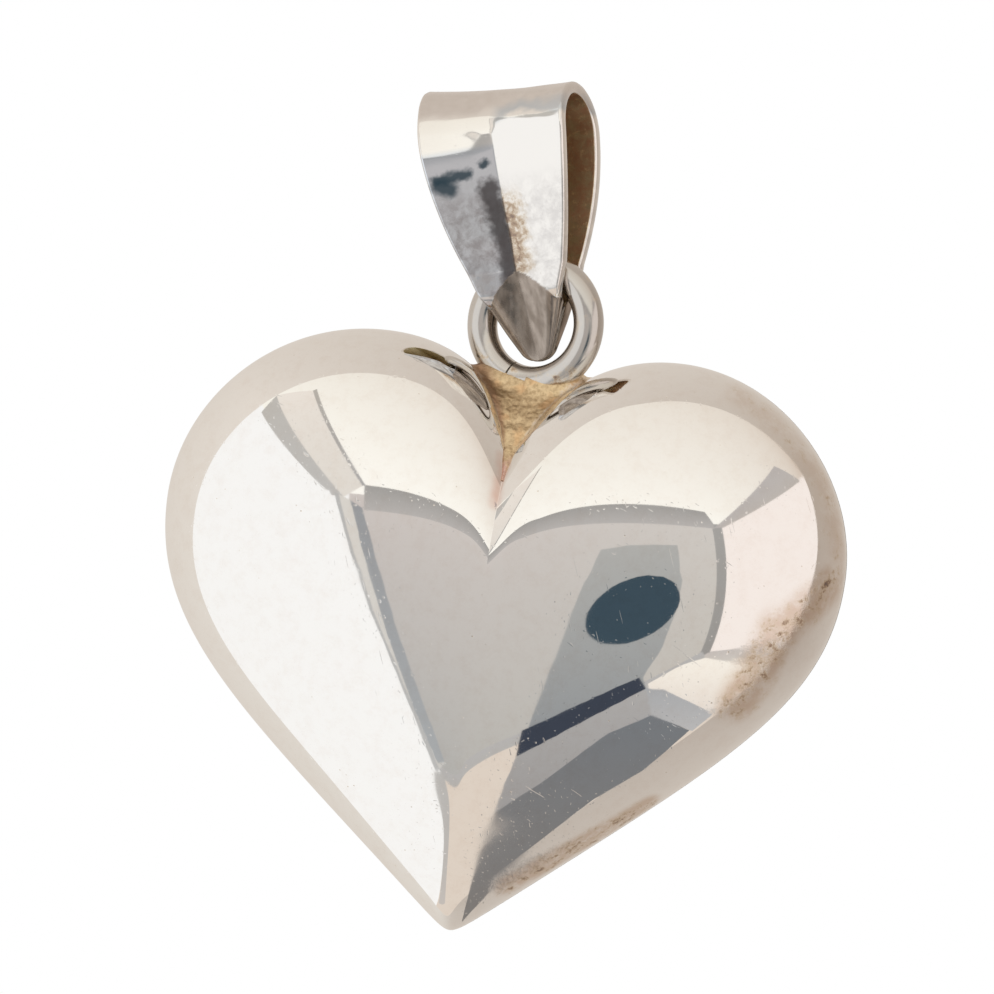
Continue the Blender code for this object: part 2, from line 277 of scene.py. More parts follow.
heart = {
    # Millimetres up from the tip and out from the centre line; the handmade sides differ a little
    "cleftZ": 25.1, "cleftFlare": 0.25, "cleftRise": 0.55, "thickness": 12.8, "domeCentre": 17.4,
    "wall": 0.5, "tipBlunting": 0.4, "tipRounding": 3.6, "belly": 0.42, "tipSharpening": 4.0,
    "seamGap": 0.2, "stations": (60, 70, 110), "crowding": 1.3, "rings": 140, "liningRings": 18,
    "sharp": radians(70),
    "vent": {"diameter": 0.8, "height": 12.8, "sides": 32, "from": 2, "to": 8},
    "right": {
        "wide": 17.04, "wideZ": 19.90, "high": 29.44, "top": 7.70, "inner": 0.464, "lobeTop": 0.546,
        "lobeSide": 0.516, "flank": 0.340, "tipReach": 15.4, "tipSlope": radians(40.9), "valley": (3.2, 3.5, 4.6),
    },
    "left": {
        "wide": 17.05, "wideZ": 19.40, "high": 29.09, "top": 7.05, "inner": 0.501, "lobeTop": 0.561,
        "lobeSide": 0.526, "flank": 0.373, "tipReach": 14.0, "tipSlope": radians(40.5), "valley": (1.7, 2.2, 3.5),
    },
}
domeCentre = np.array((0, heart["domeCentre"]))


def cleftCurve(s, t, rounded=False):
    start, end = (0, heart["cleftZ"]), (s["top"], s["high"])
    if rounded:     # the inner contours leave the valley at their own slope
        out, rise, level = s["valley"]
        return cubic(start, (out, heart["cleftZ"] + rise), (level, s["high"]), end, t)
    rise = (heart["cleftFlare"] * s["top"], heart["cleftZ"] + heart["cleftRise"] * (s["high"] - heart["cleftZ"]))
    return cubic(start, rise, (s["top"] * (1 - s["inner"]), s["high"]), end, t)


def lobeCurve(s, t):
    over = (s["top"] + s["lobeTop"] * (s["wide"] - s["top"]), s["high"])
    down = (s["wide"], s["wideZ"] + s["lobeSide"] * (s["high"] - s["wideZ"]))
    return cubic((s["top"], s["high"]), over, down, (s["wide"], s["wideZ"]), t)


def flankCurve(s, t, rounded):
    start = (s["wide"], s["wideZ"])
    down = (s["wide"], s["wideZ"] * (1 - s["flank"]))
    if rounded:
        level = (heart["belly"] * s["wide"], heart["tipRounding"])
        return cubic(start, down, level, (0, heart["tipRounding"]), t)
    blunt = heart["tipBlunting"]
    slope = (s["tipReach"] * cos(s["tipSlope"]), s["tipReach"] * sin(s["tipSlope"]) - blunt)
    x, z = cubic(start, down, slope, (0, -blunt), t)
    return np.array((x, np.hypot(z + blunt, blunt) - blunt))


def sideOutline(s, rounded):
    # From the cleft round one lobe to the tip, closer together at both ends
    cleftSteps, lobeSteps, flankSteps = heart["stations"]
    points = [cleftCurve(s, (i / cleftSteps)**heart["crowding"], rounded) for i in range(cleftSteps)]
    points += [lobeCurve(s, i / lobeSteps) for i in range(lobeSteps)]
    points += [flankCurve(s, sin(pi / 2 * i / flankSteps), rounded) for i in range(flankSteps + 1)]
    return np.array(points)


def wholeOutline(rounded):
    # From the tip up the left side, through the cleft and down the right side to the tip
    left = sideOutline(heart["left"], rounded) * (-1, 1)
    return np.vstack((left[::-1], sideOutline(heart["right"], rounded)[1:]))


def insetOutline(outline, distance):
    # Moves the closed outline inwards, with mitred corners
    closed = outline[:-1]
    ahead = np.roll(closed, -1, axis=0) - closed
    ahead /= np.linalg.norm(ahead, axis=1)[:, None]
    inward = np.column_stack((ahead[:, 1], -ahead[:, 0]))
    before = np.roll(inward, 1, axis=0)
    return closed + distance * (inward + before) / (1 + (inward * before).sum(axis=1))[:, None]


def guideCurve(name, points, closed=False):
    data = bpy.data.curves.new(name, "CURVE")
    data.dimensions = "3D"
    spline = data.splines.new("POLY")
    spline.points.add(len(points) - 1)
    spline.use_cyclic_u = closed
    for point, (x, z) in zip(spline.points, points):
        point.co = (x * mm, 0, z * mm, 1)
    return linkObject(name, data)


def puffTree():
    # Domes one cup over the outline: stations run round it, rings climb from the rim to the crown
    w, given, made = newGeometryTree("puffedCup", {
        "Outline": None, "Inner outline": None, "Dome centre": 0.0174, "Half thickness": 0.0064,
        "Half seam gap": 0.0001, "Tip sharpening": 4.0, "Side": -1.0, "Stations": 481, "Rings": 120})
    grid = w.out("GeometryNodeMeshGrid", {"Vertices X": given["Stations"], "Vertices Y": given["Rings"],
                                          "Size X": 1.0, "Size Y": 1.0})
    position = w.out("GeometryNodeInputPosition")
    place = w.split(position)
    last = w.minus(given["Stations"], 1)
    index = w.math("ROUND", w.times(w.plus(place["X"], 0.5), last))
    points = []
    for key in ("Outline", "Inner outline"):
        guide = w.put("GeometryNodeObjectInfo", {"Object": given[key]}).outputs["Geometry"]
        points.append(w.out("GeometryNodeSampleIndex", {"Geometry": guide, "Value": position, "Index": index},
                            data_type="FLOAT_VECTOR", domain="POINT"))
    climb = w.times(w.plus(place["Y"], 0.5), pi / 2)
    share = w.math("COSINE", climb)
    blend = w.math("POWER", share, given["Tip sharpening"])
    mixed = w.vector("ADD", w.scaled(points[0], blend), w.scaled(points[1], w.minus(1.0, blend)))
    centre = w.compose(z=given["Dome centre"])
    flat = w.split(w.vector("ADD", centre, w.scaled(w.vector("SUBTRACT", mixed, centre), share)))
    rise = w.times(w.minus(given["Half thickness"], given["Half seam gap"]), w.math("SINE", climb))
    level = w.times(w.plus(rise, given["Half seam gap"]), given["Side"])
    spread = w.compose(flat["X"], level, flat["Z"])
    shaped = w.out("GeometryNodeSetPosition", {"Geometry": grid, "Position": spread})
    return endTree(w, made, w.out("GeometryNodeMergeByDistance", {"Geometry": shaped, "Distance": 1e-7}))


def makeCup(tree, name, side):
    # Outer skin and lining, joined at the rim
    bm = bmesh.new()
    rims = []
    for part, wall, rings in (("Skin", 0.0, heart["rings"]), ("Lining", heart["wall"], heart["liningRings"])):
        shrink = 1 - wall / heart["right"]["wide"]
        guides = [guideCurve(name + part + kind, domeCentre + (wholeOutline(rounded) - domeCentre) * shrink)
                  for kind, rounded in (("Sharp", False), ("Round", True))]
        skin = grow(name + part, tree, {
            "Outline": guides[0], "Inner outline": guides[1], "Dome centre": heart["domeCentre"] * mm,
            "Half thickness": (heart["thickness"] / 2 - wall) * mm,
            "Half seam gap": heart["seamGap"] / 2 * mm, "Tip sharpening": heart["tipSharpening"],
            "Side": side, "Stations": 2 * sum(heart["stations"]) + 1, "Rings": rings})
        first = len(bm.verts)
        bm.from_mesh(skin.data)
        bm.verts.ensure_lookup_table()
        rim = [v for v in bm.verts[first:] if v.is_boundary]
        rims.append(sorted(rim, key=lambda v: atan2(v.co.x + 1e-8, v.co.z - heart["domeCentre"] * mm)))
        for used in (skin, *guides):
            bpy.data.objects.remove(used)
    outer, inner = rims
    for i in range(len(outer)):
        bm.faces.new((outer[i - 1], outer[i], inner[i], inner[i - 1]))
    cup = linkObject(name)
    bm.to_mesh(cup.data)
    bm.free()
    tidyNormals(cup.data)
    cup.data.set_sharp_from_angle(angle=heart["sharp"])
    return cup


def drillVent(cup):
    # Hole for the gas of soldering
    vent = heart["vent"]
    outline = circle(vent["diameter"] / 2 * mm, vent["sides"])
    drill = loftRings("ventDrill", [[(x, y * mm, z + vent["height"] * mm) for x, z in outline]
                                    for y in (vent["from"], vent["to"])])
    cut = cup.modifiers.new("vent", "BOOLEAN")
    cut.operation = "DIFFERENCE"
    cut.solver = "EXACT"
    cut.object = drill
    cup = bakeModifiers(cup)
    bpy.data.objects.remove(drill)
    return cup


cupTree = puffTree()
frontCup = placeMesh(makeCup(cupTree, "frontCup", -1.0), toHeart)
rearCup = placeMesh(drillVent(makeCup(cupTree, "rearCup", 1.0)), toHeart)
print("cups:", len(frontCup.data.vertices), "and", len(rearCup.data.vertices), "points")


# Seam: a thin bead of solder that follows the rim between the cups

seam = {"recess": 0.06, "width": 0.44, "thickness": 0.18, "corner": 0.07, "unevenness": 0.012}


def beadTree():
    # Runs a rounded strip along the guide and roughens it a little
    w, given, made = newGeometryTree("solderBead", {
        "Guide": None, "Width": 0.00044, "Thickness": 0.00018, "Corner": 0.00007, "Unevenness": 0.00001})
    guide = w.put("GeometryNodeObjectInfo", {"Object": given["Guide"]}).outputs["Geometry"]
    profile = w.out("GeometryNodeCurvePrimitiveQuadrilateral", {"Width": given["Thickness"],
                                                               "Height": given["Width"]})
    rounded = w.out("GeometryNodeFilletCurve", {"Curve": profile, "Radius": given["Corner"], "Count": 3},
                    mode="POLY")
    strip = w.out("GeometryNodeCurveToMesh", {"Curve": guide, "Profile Curve": rounded})
    return endTree(w, made, roughened(w, strip, 2500.0, 3.0, 0.7, given["Unevenness"]))


def makeSeam():
    inset = seam["recess"] + seam["width"] / 2
    guide = guideCurve("seamGuide", insetOutline(wholeOutline(False), inset), closed=True)
    sizes = {key: seam[key.lower()] * mm for key in ("Width", "Thickness", "Corner", "Unevenness")}
    item = grow("seamBead", beadTree(), {"Guide": guide, **sizes})
    bpy.data.objects.remove(guide)
    tidyNormals(item.data, 1e-7)
    return placeMesh(item, toHeart)


# Ring: drawn wire bent round by hand, its ends not quite closed

ring = {
    "radius": 2.85, "wire": 0.75, "split": 0.1, "splitAngle": radians(19), "steps": 420, "sides": 64,
    "waver": 0.02, "dents": 0.012, "sharp": radians(50),
}
ringPlace = Matrix.Translation(ringCentre) @ Matrix.Rotation(ringYaw, 4, "Z")


def ringTree():
    # Bends round wire into an open ring about Y, with the slight waver of handwork
    w, given, made = newGeometryTree("bentWire", {
        "Radius": 0.00285, "Wire radius": 0.00075, "Start": 0.0, "Sweep": 6.2, "Steps": 420, "Sides": 64,
        "Waver": 0.00002, "Dents": 0.00001})
    arc = w.out("GeometryNodeCurveArc", {"Resolution": given["Steps"], "Radius": given["Radius"],
                                         "Start Angle": given["Start"], "Sweep Angle": given["Sweep"]})
    upright = w.out("GeometryNodeTransform", {"Geometry": arc, "Rotation": (pi / 2, 0, 0)})
    shift = w.drift(w.out("GeometryNodeInputPosition"), 260.0, 0.0, given["Waver"])
    bent = w.out("GeometryNodeSetPosition", {"Geometry": upright, "Offset": shift})
    profile = w.out("GeometryNodeCurvePrimitiveCircle", {"Resolution": given["Sides"],
                                                         "Radius": given["Wire radius"]})
    wire = w.out("GeometryNodeCurveToMesh", {"Curve": bent, "Profile Curve": profile, "Fill Caps": True})
    return endTree(w, made, roughened(w, wire, 900.0, 2.0, 0.62, given["Dents"]))


def makeRing():
    opening = ring["split"] / ring["radius"]
    item = grow("wireRing", ringTree(), {
        "Radius": ring["radius"] * mm, "Wire radius": ring["wire"] * mm,
        "Start": -pi / 2 - ring["splitAngle"] + opening / 2, "Sweep": 2 * pi - opening,
        "Steps": ring["steps"], "Sides": ring["sides"], "Waver": ring["waver"] * mm, "Dents": ring["dents"] * mm})
    tidyNormals(item.data, 1e-8)
    item.data.set_sharp_from_angle(angle=ring["sharp"])
    return placeMesh(item, ringPlace)


# Solder run into the cleft, wetting the ring and both lobes

fillet = {
    "frontSweep": radians(50), "rearSweep": radians(44), "climb": 0.55, "tail": 0.012, "narrowing": 1.7,
    "fill": 0.73, "settle": 2.4, "edge": 0.10, "sink": 0.05, "sections": 150, "points": 72, "collar": 0.5,
    "collarReach": 0.36, "calmReach": 0.5, "grain": 0.045, "grainScale": 3.1, "lumps": 0.12, "lumpScale": 0.9,
    "fadeBefore": 0.9, "fadeRate": 3, "collarLean": 0.5,
}


def skinPoint(s, sweep, climb):
    # On the heart's skin: sweep turns from front to rear, climb goes up a lobe
    x, z = domeCentre + cos(sweep) * (cleftCurve(s, climb) - domeCentre)
    y = (heart["thickness"] - heart["seamGap"]) / 2 * sin(sweep) + heart["seamGap"] / 2 * np.sign(sweep)
    return np.array((x, y, z))


def skinNormal(s, sweep, climb):
    step = 0.004
    here = max(climb, step)
    along = skinPoint(s, sweep, here + step) - skinPoint(s, sweep, here)
    across = skinPoint(s, sweep + step, here) - skinPoint(s, sweep - step, here)
    normal = np.cross(along, across - (0, heart["seamGap"] * (abs(sweep) < step), 0))
    normal /= np.linalg.norm(normal)
    if climb == 0:      # the two sides' normals meet in a mitre on the valley's bottom
        normal[0] = 0
        normal /= normal @ normal
    return normal


def filletSection(s, sweep, limit):
    # Lower and upper edge of one side of the solder's section
    spread = 1 - abs(sweep) / limit
    climb = fillet["tail"] + (fillet["climb"] - fillet["tail"]) * spread**fillet["narrowing"]
    half = fillet["points"] // 2
    shares = [i / half for i in range(half + 1)]
    under = [skinPoint(s, sweep, climb * k) - fillet["sink"] * skinNormal(s, sweep, climb * k) for k in shares]
    side = under[-1] * (1, 0, 0)
    level = under[-1] - side
    sag = under[0] + fillet["fill"] * (level - under[0])
    lift = fillet["edge"] * skinNormal(s, sweep, 0)
    over = [sag + lift * (1 - k * k) + (level - sag) * k**fillet["settle"] + side * k for k in shares]
    return np.array(under), np.array(over)


def makeFillet():
    toRing = Matrix.Rotation(-ringYaw, 4, "Z") @ Matrix.Translation((heartTip - ringCentre) / mm)
    rings = []
    thin = []
    sections = fillet["sections"]
    total = fillet["frontSweep"] + fillet["rearSweep"]
    for i in range(1, sections):
        sweep = -fillet["frontSweep"] + total * i / sections
        limit = fillet["frontSweep"] if sweep < 0 else fillet["rearSweep"]
        halves = [filletSection(heart[name], sweep, limit) for name in ("left", "right")]
        under, over = (np.vstack((left[:0:-1] * (-1, 1, 1), right)) for left, right in zip(*halves))
        out = Vector(skinNormal(heart["right"], sweep, 0))
        out = out.lerp(Vector((0, 0, 1)), fillet["collarLean"]).normalized()
        fade = min(1, (1 - abs(sweep) / fillet["fadeBefore"]) * fillet["fadeRate"])
        edgeSteps = [min(k, len(over) - 1 - k) for k in range(len(over))]
        thin += [1.0] * len(under) + [1 - steps / (len(over) / 2) for steps in edgeSteps[::-1]]
        raised = []
        for steps, point in zip(edgeSteps, over):
            place = toRing @ Vector(point)
            reach = sqrt(place.x**2 + place.z**2) - ring["radius"]
            clear = abs(sqrt(reach**2 + place.y**2) - ring["wire"])
            calm = smoothStep(0, fillet["calmReach"], clear)
            grain = noise.fractal(Vector(point) * fillet["grainScale"], 1.0, 2.2, 5)
            lump = noise.noise(Vector(point) * fillet["lumpScale"])
            collar = fillet["collar"] * np.exp(-(clear / fillet["collarReach"])**2)
            rough = (fillet["grain"] * grain + fillet["lumps"] * lump) * calm
            inward = min(1, steps / (fillet["points"] / 8)) * fade
            raised.append(Vector(point) + out * ((rough + collar) * max(0, inward)))
        rings.append([Vector(p) for p in under] + raised[::-1])
    item = loftRings("cleftFillet", rings)
    keepValues(item, "thin", thin)
    return placeMesh(item, toHeart @ Matrix.Scale(mm, 4))


# Bail: a strap folded over, pinched and filed at the tip, creased down its middle

bail = {
    "length": 13.9, "width": 7.9, "tipWidth": 1.2, "tipRound": 0.45, "depth": 5.2, "sheet": 0.65,
    "ridge": 0.12, "valley": 0.3, "turnLength": 2.0, "fadeLength": 0.7, "pinchLength": 2.6, "pinchGap": 0.15,
    "flareLength": 8.0, "taper": 2.15, "skew": radians(6.8), "lean": radians(17), "edge": 0.17, "edgeSteps": 10,
    "tipSheet": 0.15, "leafLength": 4.4, "leafDrop": 1.75, "leafCurve": 0.95, "leafHollow": 1.2,
    "leafRound": 0.1, "leftLean": 0.45, "leanFrom": 2.3, "leanRise": 1.3, "leanStop": 1.2, "leanFall": 2.4,
    "runningFit": 0.08, "tipToRing": 0.25, "crestSag": 0.16, "creaseEase": 0.02, "hammering": 0.02,
    "plateSteps": 230, "crestSteps": 120, "roomSteps": 60, "across": 56, "crowding": 1.35, "sharp": radians(50),
}
bailPlace = Matrix.Rotation(ringYaw, 4, "Z") @ Matrix.Rotation(-bail["lean"], 4, "Y") @ Matrix.Scale(mm, 4)
tipZ = bail["sheet"] - bail["length"]
crestGap = bail["depth"] / 2 - bail["sheet"]


def eased(share, radius):
    # Size of the share, rounded off near the middle
    return sqrt(share**2 + radius**2) - radius


def strapHalfWidth(up):
    left = max(0, 1 - up / bail["length"])
    taper = bail["tipWidth"] + (bail["width"] - bail["tipWidth"]) * (1 - left**bail["taper"])
    short = max(0, bail["tipRound"] - up)
    return taper / 2 - bail["tipRound"] + sqrt(bail["tipRound"]**2 - short**2)


def wireRoom(up):
    # Half the gap that the ring's wire needs between the plates at this height
    height = up - (ring["radius"] - ring["wire"] - bail["tipToRing"])
    if height < 0:
        return 0
    reach = ring["wire"] + bail["runningFit"]
    offsets = np.hypot(height, strapHalfWidth(up) * np.linspace(0, 1, bail["roomSteps"])) - ring["radius"]
    return sqrt(max(0, reach**2 - (offsets**2).min()))


def crease(up):
    turned = smoothStep(0, 1, (up - bail["leafLength"]) / bail["turnLength"])
    kept = smoothStep(0, 1, (bail["length"] - bail["sheet"] - up) / bail["fadeLength"])
    return bail["ridge"] * (1 - turned) - bail["valley"] * turned * kept


def strapGap(up):
    opened = min(1, max(0, (up - bail["pinchLength"]) / bail["flareLength"]))
    flare = bail["pinchGap"] + (crestGap - bail["pinchGap"]) * sin(pi / 2 * opened)
    return max(flare, wireRoom(up) + max(0, -crease(up)))


def leftLean(up, share):
    # The left panel of the front plate was bent out a little further than the right one
    begun = smoothStep(0, 1, (up - bail["leanFrom"]) / bail["leanRise"])
    kept = smoothStep(0, 1, (bail["length"] - bail["leanStop"] - up) / bail["leanFall"])
    return bail["leftLean"] * begun * kept * max(0, -share)


def leafTop(share):
    # How high up the tip the file reached, at this share of the half width
    return bail["leafLength"] - bail["leafDrop"] * max(0, eased(share, bail["leafRound"]))**bail["leafCurve"]


def filedReach(up, share):
    # Distance from the middle plane that the file leaves below the leaf's edge
    top = leafTop(share)
    whole = strapGap(top) + bail["sheet"] + crease(top) * (1 - abs(share)) + leftLean(top, share)
    tip = bail["pinchGap"] + bail["tipSheet"]
    return tip + (whole - tip) * (up / top)**bail["leafHollow"]


def strapPath():
    # Inner face in side view: place, outward direction, along the strap
    top = bail["length"] - bail["sheet"] - crestGap
    climb = [top * i / bail["plateSteps"] for i in range(bail["plateSteps"])]
    front = [(-strapGap(up), up, -1.0, 0.0) for up in climb]
    arc = [pi * i / bail["crestSteps"] for i in range(bail["crestSteps"] + 1)]
    crest = [(-crestGap * cos(a), top + crestGap * sin(a), -cos(a), sin(a)) for a in arc]
    return front + crest + [(-y, up, 1.0, 0.0) for y, up, *rest in front[::-1]]


def strapOutline():
    # Shares across the strap, the depth in the sheet, the edge's bulge and how far inside the fold
    even = np.linspace(-1, 1, bail["across"] + 1)
    shares = np.sign(even) * (1 - (1 - np.abs(even))**bail["crowding"])
    turns = [pi * k / bail["edgeSteps"] for k in range(1, bail["edgeSteps"])]
    outer = [(share, 1.0, 0.0, 0.0) for share in shares]
    right = [(1.0, (1 + cos(t)) / 2, sin(t), 0.5) for t in turns]
    inner = [(share, 0.0, 0.0, 1.0) for share in shares[::-1]]
    left = [(-1.0, (1 - cos(t)) / 2, -sin(t), 0.5) for t in turns]
    return outer + right + inner + left


def makeBail():
    outline = strapOutline()
    rings = []
    filed = []
    inside = []
    for y, up, outY, outZ in strapPath():
        half = strapHalfWidth(up) - bail["edge"]
        fold = crease(up)
        points = []
        for share, layer, bulge, within in outline:
            ease = eased(share, bail["creaseEase"])
            depth = bail["sheet"] * layer + fold * (1 - ease) - bail["crestSag"] * (1 - share**2) * outZ**2
            if outY < 0:
                depth += leftLean(up + outZ * depth, share)
            isFiled = float(outZ < 0.001 and up < leafTop(share))
            if isFiled:
                reach = filedReach(up, share) - abs(y)
                depth = reach * layer + min(depth, reach - bail["tipSheet"]) * (1 - layer)
            x = share * half + bail["edge"] * bulge
            dent = noise.noise(Vector((x * 0.8, up * 0.5 + outZ * 3, y * 2)))
            depth += bail["hammering"] * dent * layer * (1 - isFiled)
            height = up + outZ * depth
            slant = x * tan(bail["skew"]) * (height / bail["length"])**2
            points.append((x, y + outY * depth, tipZ + height - slant))
            filed.append(isFiled)
            inside.append(within)
        rings.append(points)
    item = loftRings("foldedBail", rings)
    keepValues(item, "filed", filed)
    keepValues(item, "inside", inside)
    item.data.set_sharp_from_angle(angle=bail["sharp"])
    return placeMesh(item, bailPlace)


# Solder squeezed between the pinched plates

tipFill = {"thickness": 0.26, "setback": 0.12, "inset": 0.06, "bulge": 0.05, "roundings": (0.5, 0.7),
           "sections": 60, "points": 40}


def makeTipFill():
    rings = []
    reach = bail["pinchLength"] - 2 * tipFill["setback"]
    across, through = tipFill["roundings"]
    for i in range(tipFill["sections"] + 1):
        up = tipFill["setback"] + reach * i / tipFill["sections"]
        ends = min(1, 4 * min(i, tipFill["sections"] - i) / tipFill["sections"] + 0.25)
        wide = strapHalfWidth(up) - tipFill["inset"]
        thick = tipFill["thickness"] / 2 * ends
        points = []
        for c, s in circle(1, tipFill["points"]):
            rough = 1 + tipFill["bulge"] * noise.noise(Vector((c, up * 2, s)) * 2)
            points.append((wide * rough * np.sign(c) * abs(c)**across,
                           thick * np.sign(s) * abs(s)**through, tipZ + up))
        rings.append(points)
    return placeMesh(loftRings("tipFill", rings), bailPlace)


seamBead = makeSeam()
wireRing = makeRing()
cleftFillet = makeFillet()
foldedBail = makeBail()
tipSolder = makeTipFill()


# Surface effects that several metals share

wear = {
    # Directions of the fine scratches: turn, length and width in millimetres
    "scratches": (((0.3, 0.5, 0.4), 6.0, 0.13), ((0.1, -0.7, 1.1), 4.0, 0.11),
                  ((1.3, 0.2, -0.6), 8.0, 0.16), ((0.7, 1.2, 0.2), 3.0, 0.1)),
    # Oxide film: straw where it is thin, then brown, then blue-grey
    "thin": (0.86, 0.80, 0.70, 1), "thick": (0.15, 0.16, 0.18, 1),
    "between": ((0.3, (0.68, 0.57, 0.44, 1)), (0.6, (0.42, 0.31, 0.23, 1)), (0.82, (0.25, 0.19, 0.17, 1))),
}


def metal(name, colour, roughness):
    material = bpy.data.materials.new(name)
    material.use_nodes = True
    shader = material.node_tree.nodes["Principled BSDF"]
    w = Wiring(material.node_tree)
    for key, value in (("Base Color", colour), ("Roughness", roughness), ("Metallic", 1.0)):
        w.feed(shader.inputs[key], value)
    return material, w, shader


def dress(w, shader, colour, roughness, height, strength, depth):
    bump = w.out("ShaderNodeBump", {"Height": height, "Strength": strength, "Distance": depth * mm})
    for key, value in (("Base Color", colour), ("Roughness", roughness), ("Normal", bump)):
        w.feed(shader.inputs[key], value)


def local(w, location=(0, 0, 0), rotation=(0, 0, 0), scale=(1, 1, 1)):
    # Object coordinates counted in millimetres from a place, along turned and stretched axes
    return w.out("ShaderNodeMapping", {
        "Vector": w.put("ShaderNodeTexCoord").outputs["Object"], "Location": tuple(location),
        "Rotation": rotation, "Scale": tuple(s * mm for s in scale)}, vector_type="TEXTURE")


def nearLine(w, place, start, end, low, high):
    # 1 along the line from start to end, eased to 0 away from it
    along = Vector(end) - Vector(start)
    off = w.vector("SUBTRACT", place, start)
    share = w.math("DIVIDE", w.vector("DOT_PRODUCT", off, tuple(along)), along.length_squared, clamp=True)
    return w.band(w.vector("DISTANCE", off, w.scaled(tuple(along), share)), low, high, 1.0, 0.0)


def wornPolishGroup():
    # Fine scratches, small pits and a hazy bloom
    names = ("Scratches", "Pits", "Haze")
    w, given, made = newTree("wornPolish", dict(zip(names, (1.0, 0.5, 0.5))),
                             dict.fromkeys(names, "NodeSocketFloat"), "ShaderNodeTree")
    lines = 0.0
    for turn, length, width in wear["scratches"]:
        streak = w.noise(local(w, rotation=turn, scale=(length, width, width)), 1.0, 0.0)
        lines = w.most(lines, w.band(streak, 0.79, 0.88))
    place = local(w)
    spots = w.band(w.cells(place, 2.6), 0.06, 0.13, 1.0, 0.0)
    some = w.band(w.noise(place, 0.9, 2.0), 0.55, 0.68)
    bloom = w.band(w.noise(place, 0.35, 4.0, 0.6), 0.35, 0.75)
    for name, value in zip(names, (lines, w.times(spots, some), bloom)):
        w.feed(made[name], w.math("MULTIPLY", value, given[name], clamp=True))
    return w.tree


def tarnishGroup():
    w, given, made = newTree("tarnishFilm", {"Metal": (0.9, 0.9, 0.9, 1), "Cover": 0.0, "Grain": 1.0},
                             {"Colour": "NodeSocketColor", "Film": "NodeSocketFloat"}, "ShaderNodeTree")
    coarse = w.noise(local(w), given["Grain"], 5.0, 0.62, 0.4)
    film = w.math("MULTIPLY", given["Cover"], w.band(coarse, 0.25, 0.75, 0.3, 1.35), clamp=True)
    ramp = w.put("ShaderNodeValToRGB", {"Fac": film})
    stops = ramp.color_ramp.elements
    stops[0].color = wear["thin"]
    stops[1].color = wear["thick"]
    for at, colour in wear["between"]:
        stops.new(at).color = colour
    w.feed(made["Colour"], w.blend(w.band(film, 0.0, 0.5), given["Metal"], ramp.outputs[0]))
    w.feed(made["Film"], film)
    return w.tree


wornPolish = wornPolishGroup()
tarnishFilm = tarnishGroup()


def wornBy(w, scratches, pits, haze):
    return w.put("ShaderNodeGroup", {"Scratches": scratches, "Pits": pits, "Haze": haze},
                 node_tree=wornPolish).outputs


def tarnished(w, colour, cover, grain):
    # The metal's colour under the film, and the film's thickness
    made = w.put("ShaderNodeGroup", {"Metal": colour, "Cover": cover, "Grain": grain}, node_tree=tarnishFilm)
    return made.outputs["Colour"], made.outputs["Film"]


# Polished silver of the two cups, tarnished along one flank

polish = {
    "silver": (0.93, 0.915, 0.89), "tan": (0.72, 0.60, 0.51), "roughness": 0.024, "clouds": 0.16, "grain": 2.4,
    "worn": (0.5, 0.7, 0.6), "bump": (0.25, 0.02),      # scratches, pits and haze; strength and depth
    # Tarnish: two ends of each streak in millimetres from the heart's tip, its width and its strength
    "stains": (
        ((12.9, -2.9, 13.4), (14.3, -3.0, 17.2), 2.0, 1.0), ((14.3, -3.0, 17.2), (16.4, -1.7, 19.6), 1.7, 1.0),
        ((2.6, -1.3, 2.9), (9.0, -1.2, 7.5), 1.25, 1.15), ((10.8, -1.8, 28.2), (15.6, -1.4, 24.5), 1.8, 0.45),
        ((15.6, -1.4, 24.5), (16.9, -1.0, 19.5), 1.8, 0.5), ((6.0, 0.8, 5.4), (11.5, 0.8, 10.3), 2.2, 0.6)),
    # Copper-red breath below the solder: two ends and its width
    "blush": ((-0.35, -4.1, 23.6), (-0.15, -5.6, 21.3), 0.55), "blushColour": (0.80, 0.60, 0.53),
}


def polishedSilver():
    material, w, shader = metal("polishedSilver", polish["silver"], polish["roughness"])
    place = local(w, heartTip)
    worn = wornBy(w, *polish["worn"])
    cover = 0.0
    for start, end, width, strength in polish["stains"]:
        cover = w.most(cover, w.times(nearLine(w, place, start, end, 0.0, width), strength))
    # Tan under the tarnish and faint clouds over the whole cup
    under = w.times(w.band(cover, 0.0, 0.8), w.band(w.noise(place, 0.9, 5.0, 0.7), 0.3, 0.6, 0.35, 1.0))
    clouds = w.band(w.noise(place, 1.3, 8.0, 0.75), 0.42, 0.72, 0.0, polish["clouds"])
    skin = w.blend(w.most(under, clouds), polish["silver"], polish["tan"])
    broken = w.band(w.noise(place, 1.7, 6.0, 0.75), 0.38, 0.70, 0.0, 0.8)
    nearSeam = w.band(w.math("ABSOLUTE", w.split(place)["Y"]), 0.1, 0.5, 0.35, 0.0)
    cover = w.most(w.times(cover, broken), nearSeam, w.times(worn["Pits"], 0.5))
    colour, film = tarnished(w, skin, cover, polish["grain"])
    start, end, width = polish["blush"]
    uneven = w.band(w.noise(place, 1.6, 2.0), 0.1, 0.9, 0.35, 1.0)
    colour = w.blend(w.times(nearLine(w, place, start, end, 0.0, width), uneven), colour, polish["blushColour"])
    rough = w.weighed((worn["Haze"], 0.03), (worn["Scratches"], 0.12), (film, 0.28))
    dips = w.weighed((worn["Scratches"], -0.4), (worn["Pits"], -1.0))
    dress(w, shader, colour, w.plus(rough, polish["roughness"]), w.minus(dips, film), *polish["bump"])
    return material


# Drawn wire of the ring: lines along the wire, dull near the solder

wireFinish = {"silver": (0.62, 0.59, 0.555), "roughness": 0.14, "lines": 0.1, "grain": 1.7,
              "worn": (0.5, 0.8, 1.0), "bump": (0.3, 0.02), "dullBetween": (-2.6, -1.2)}


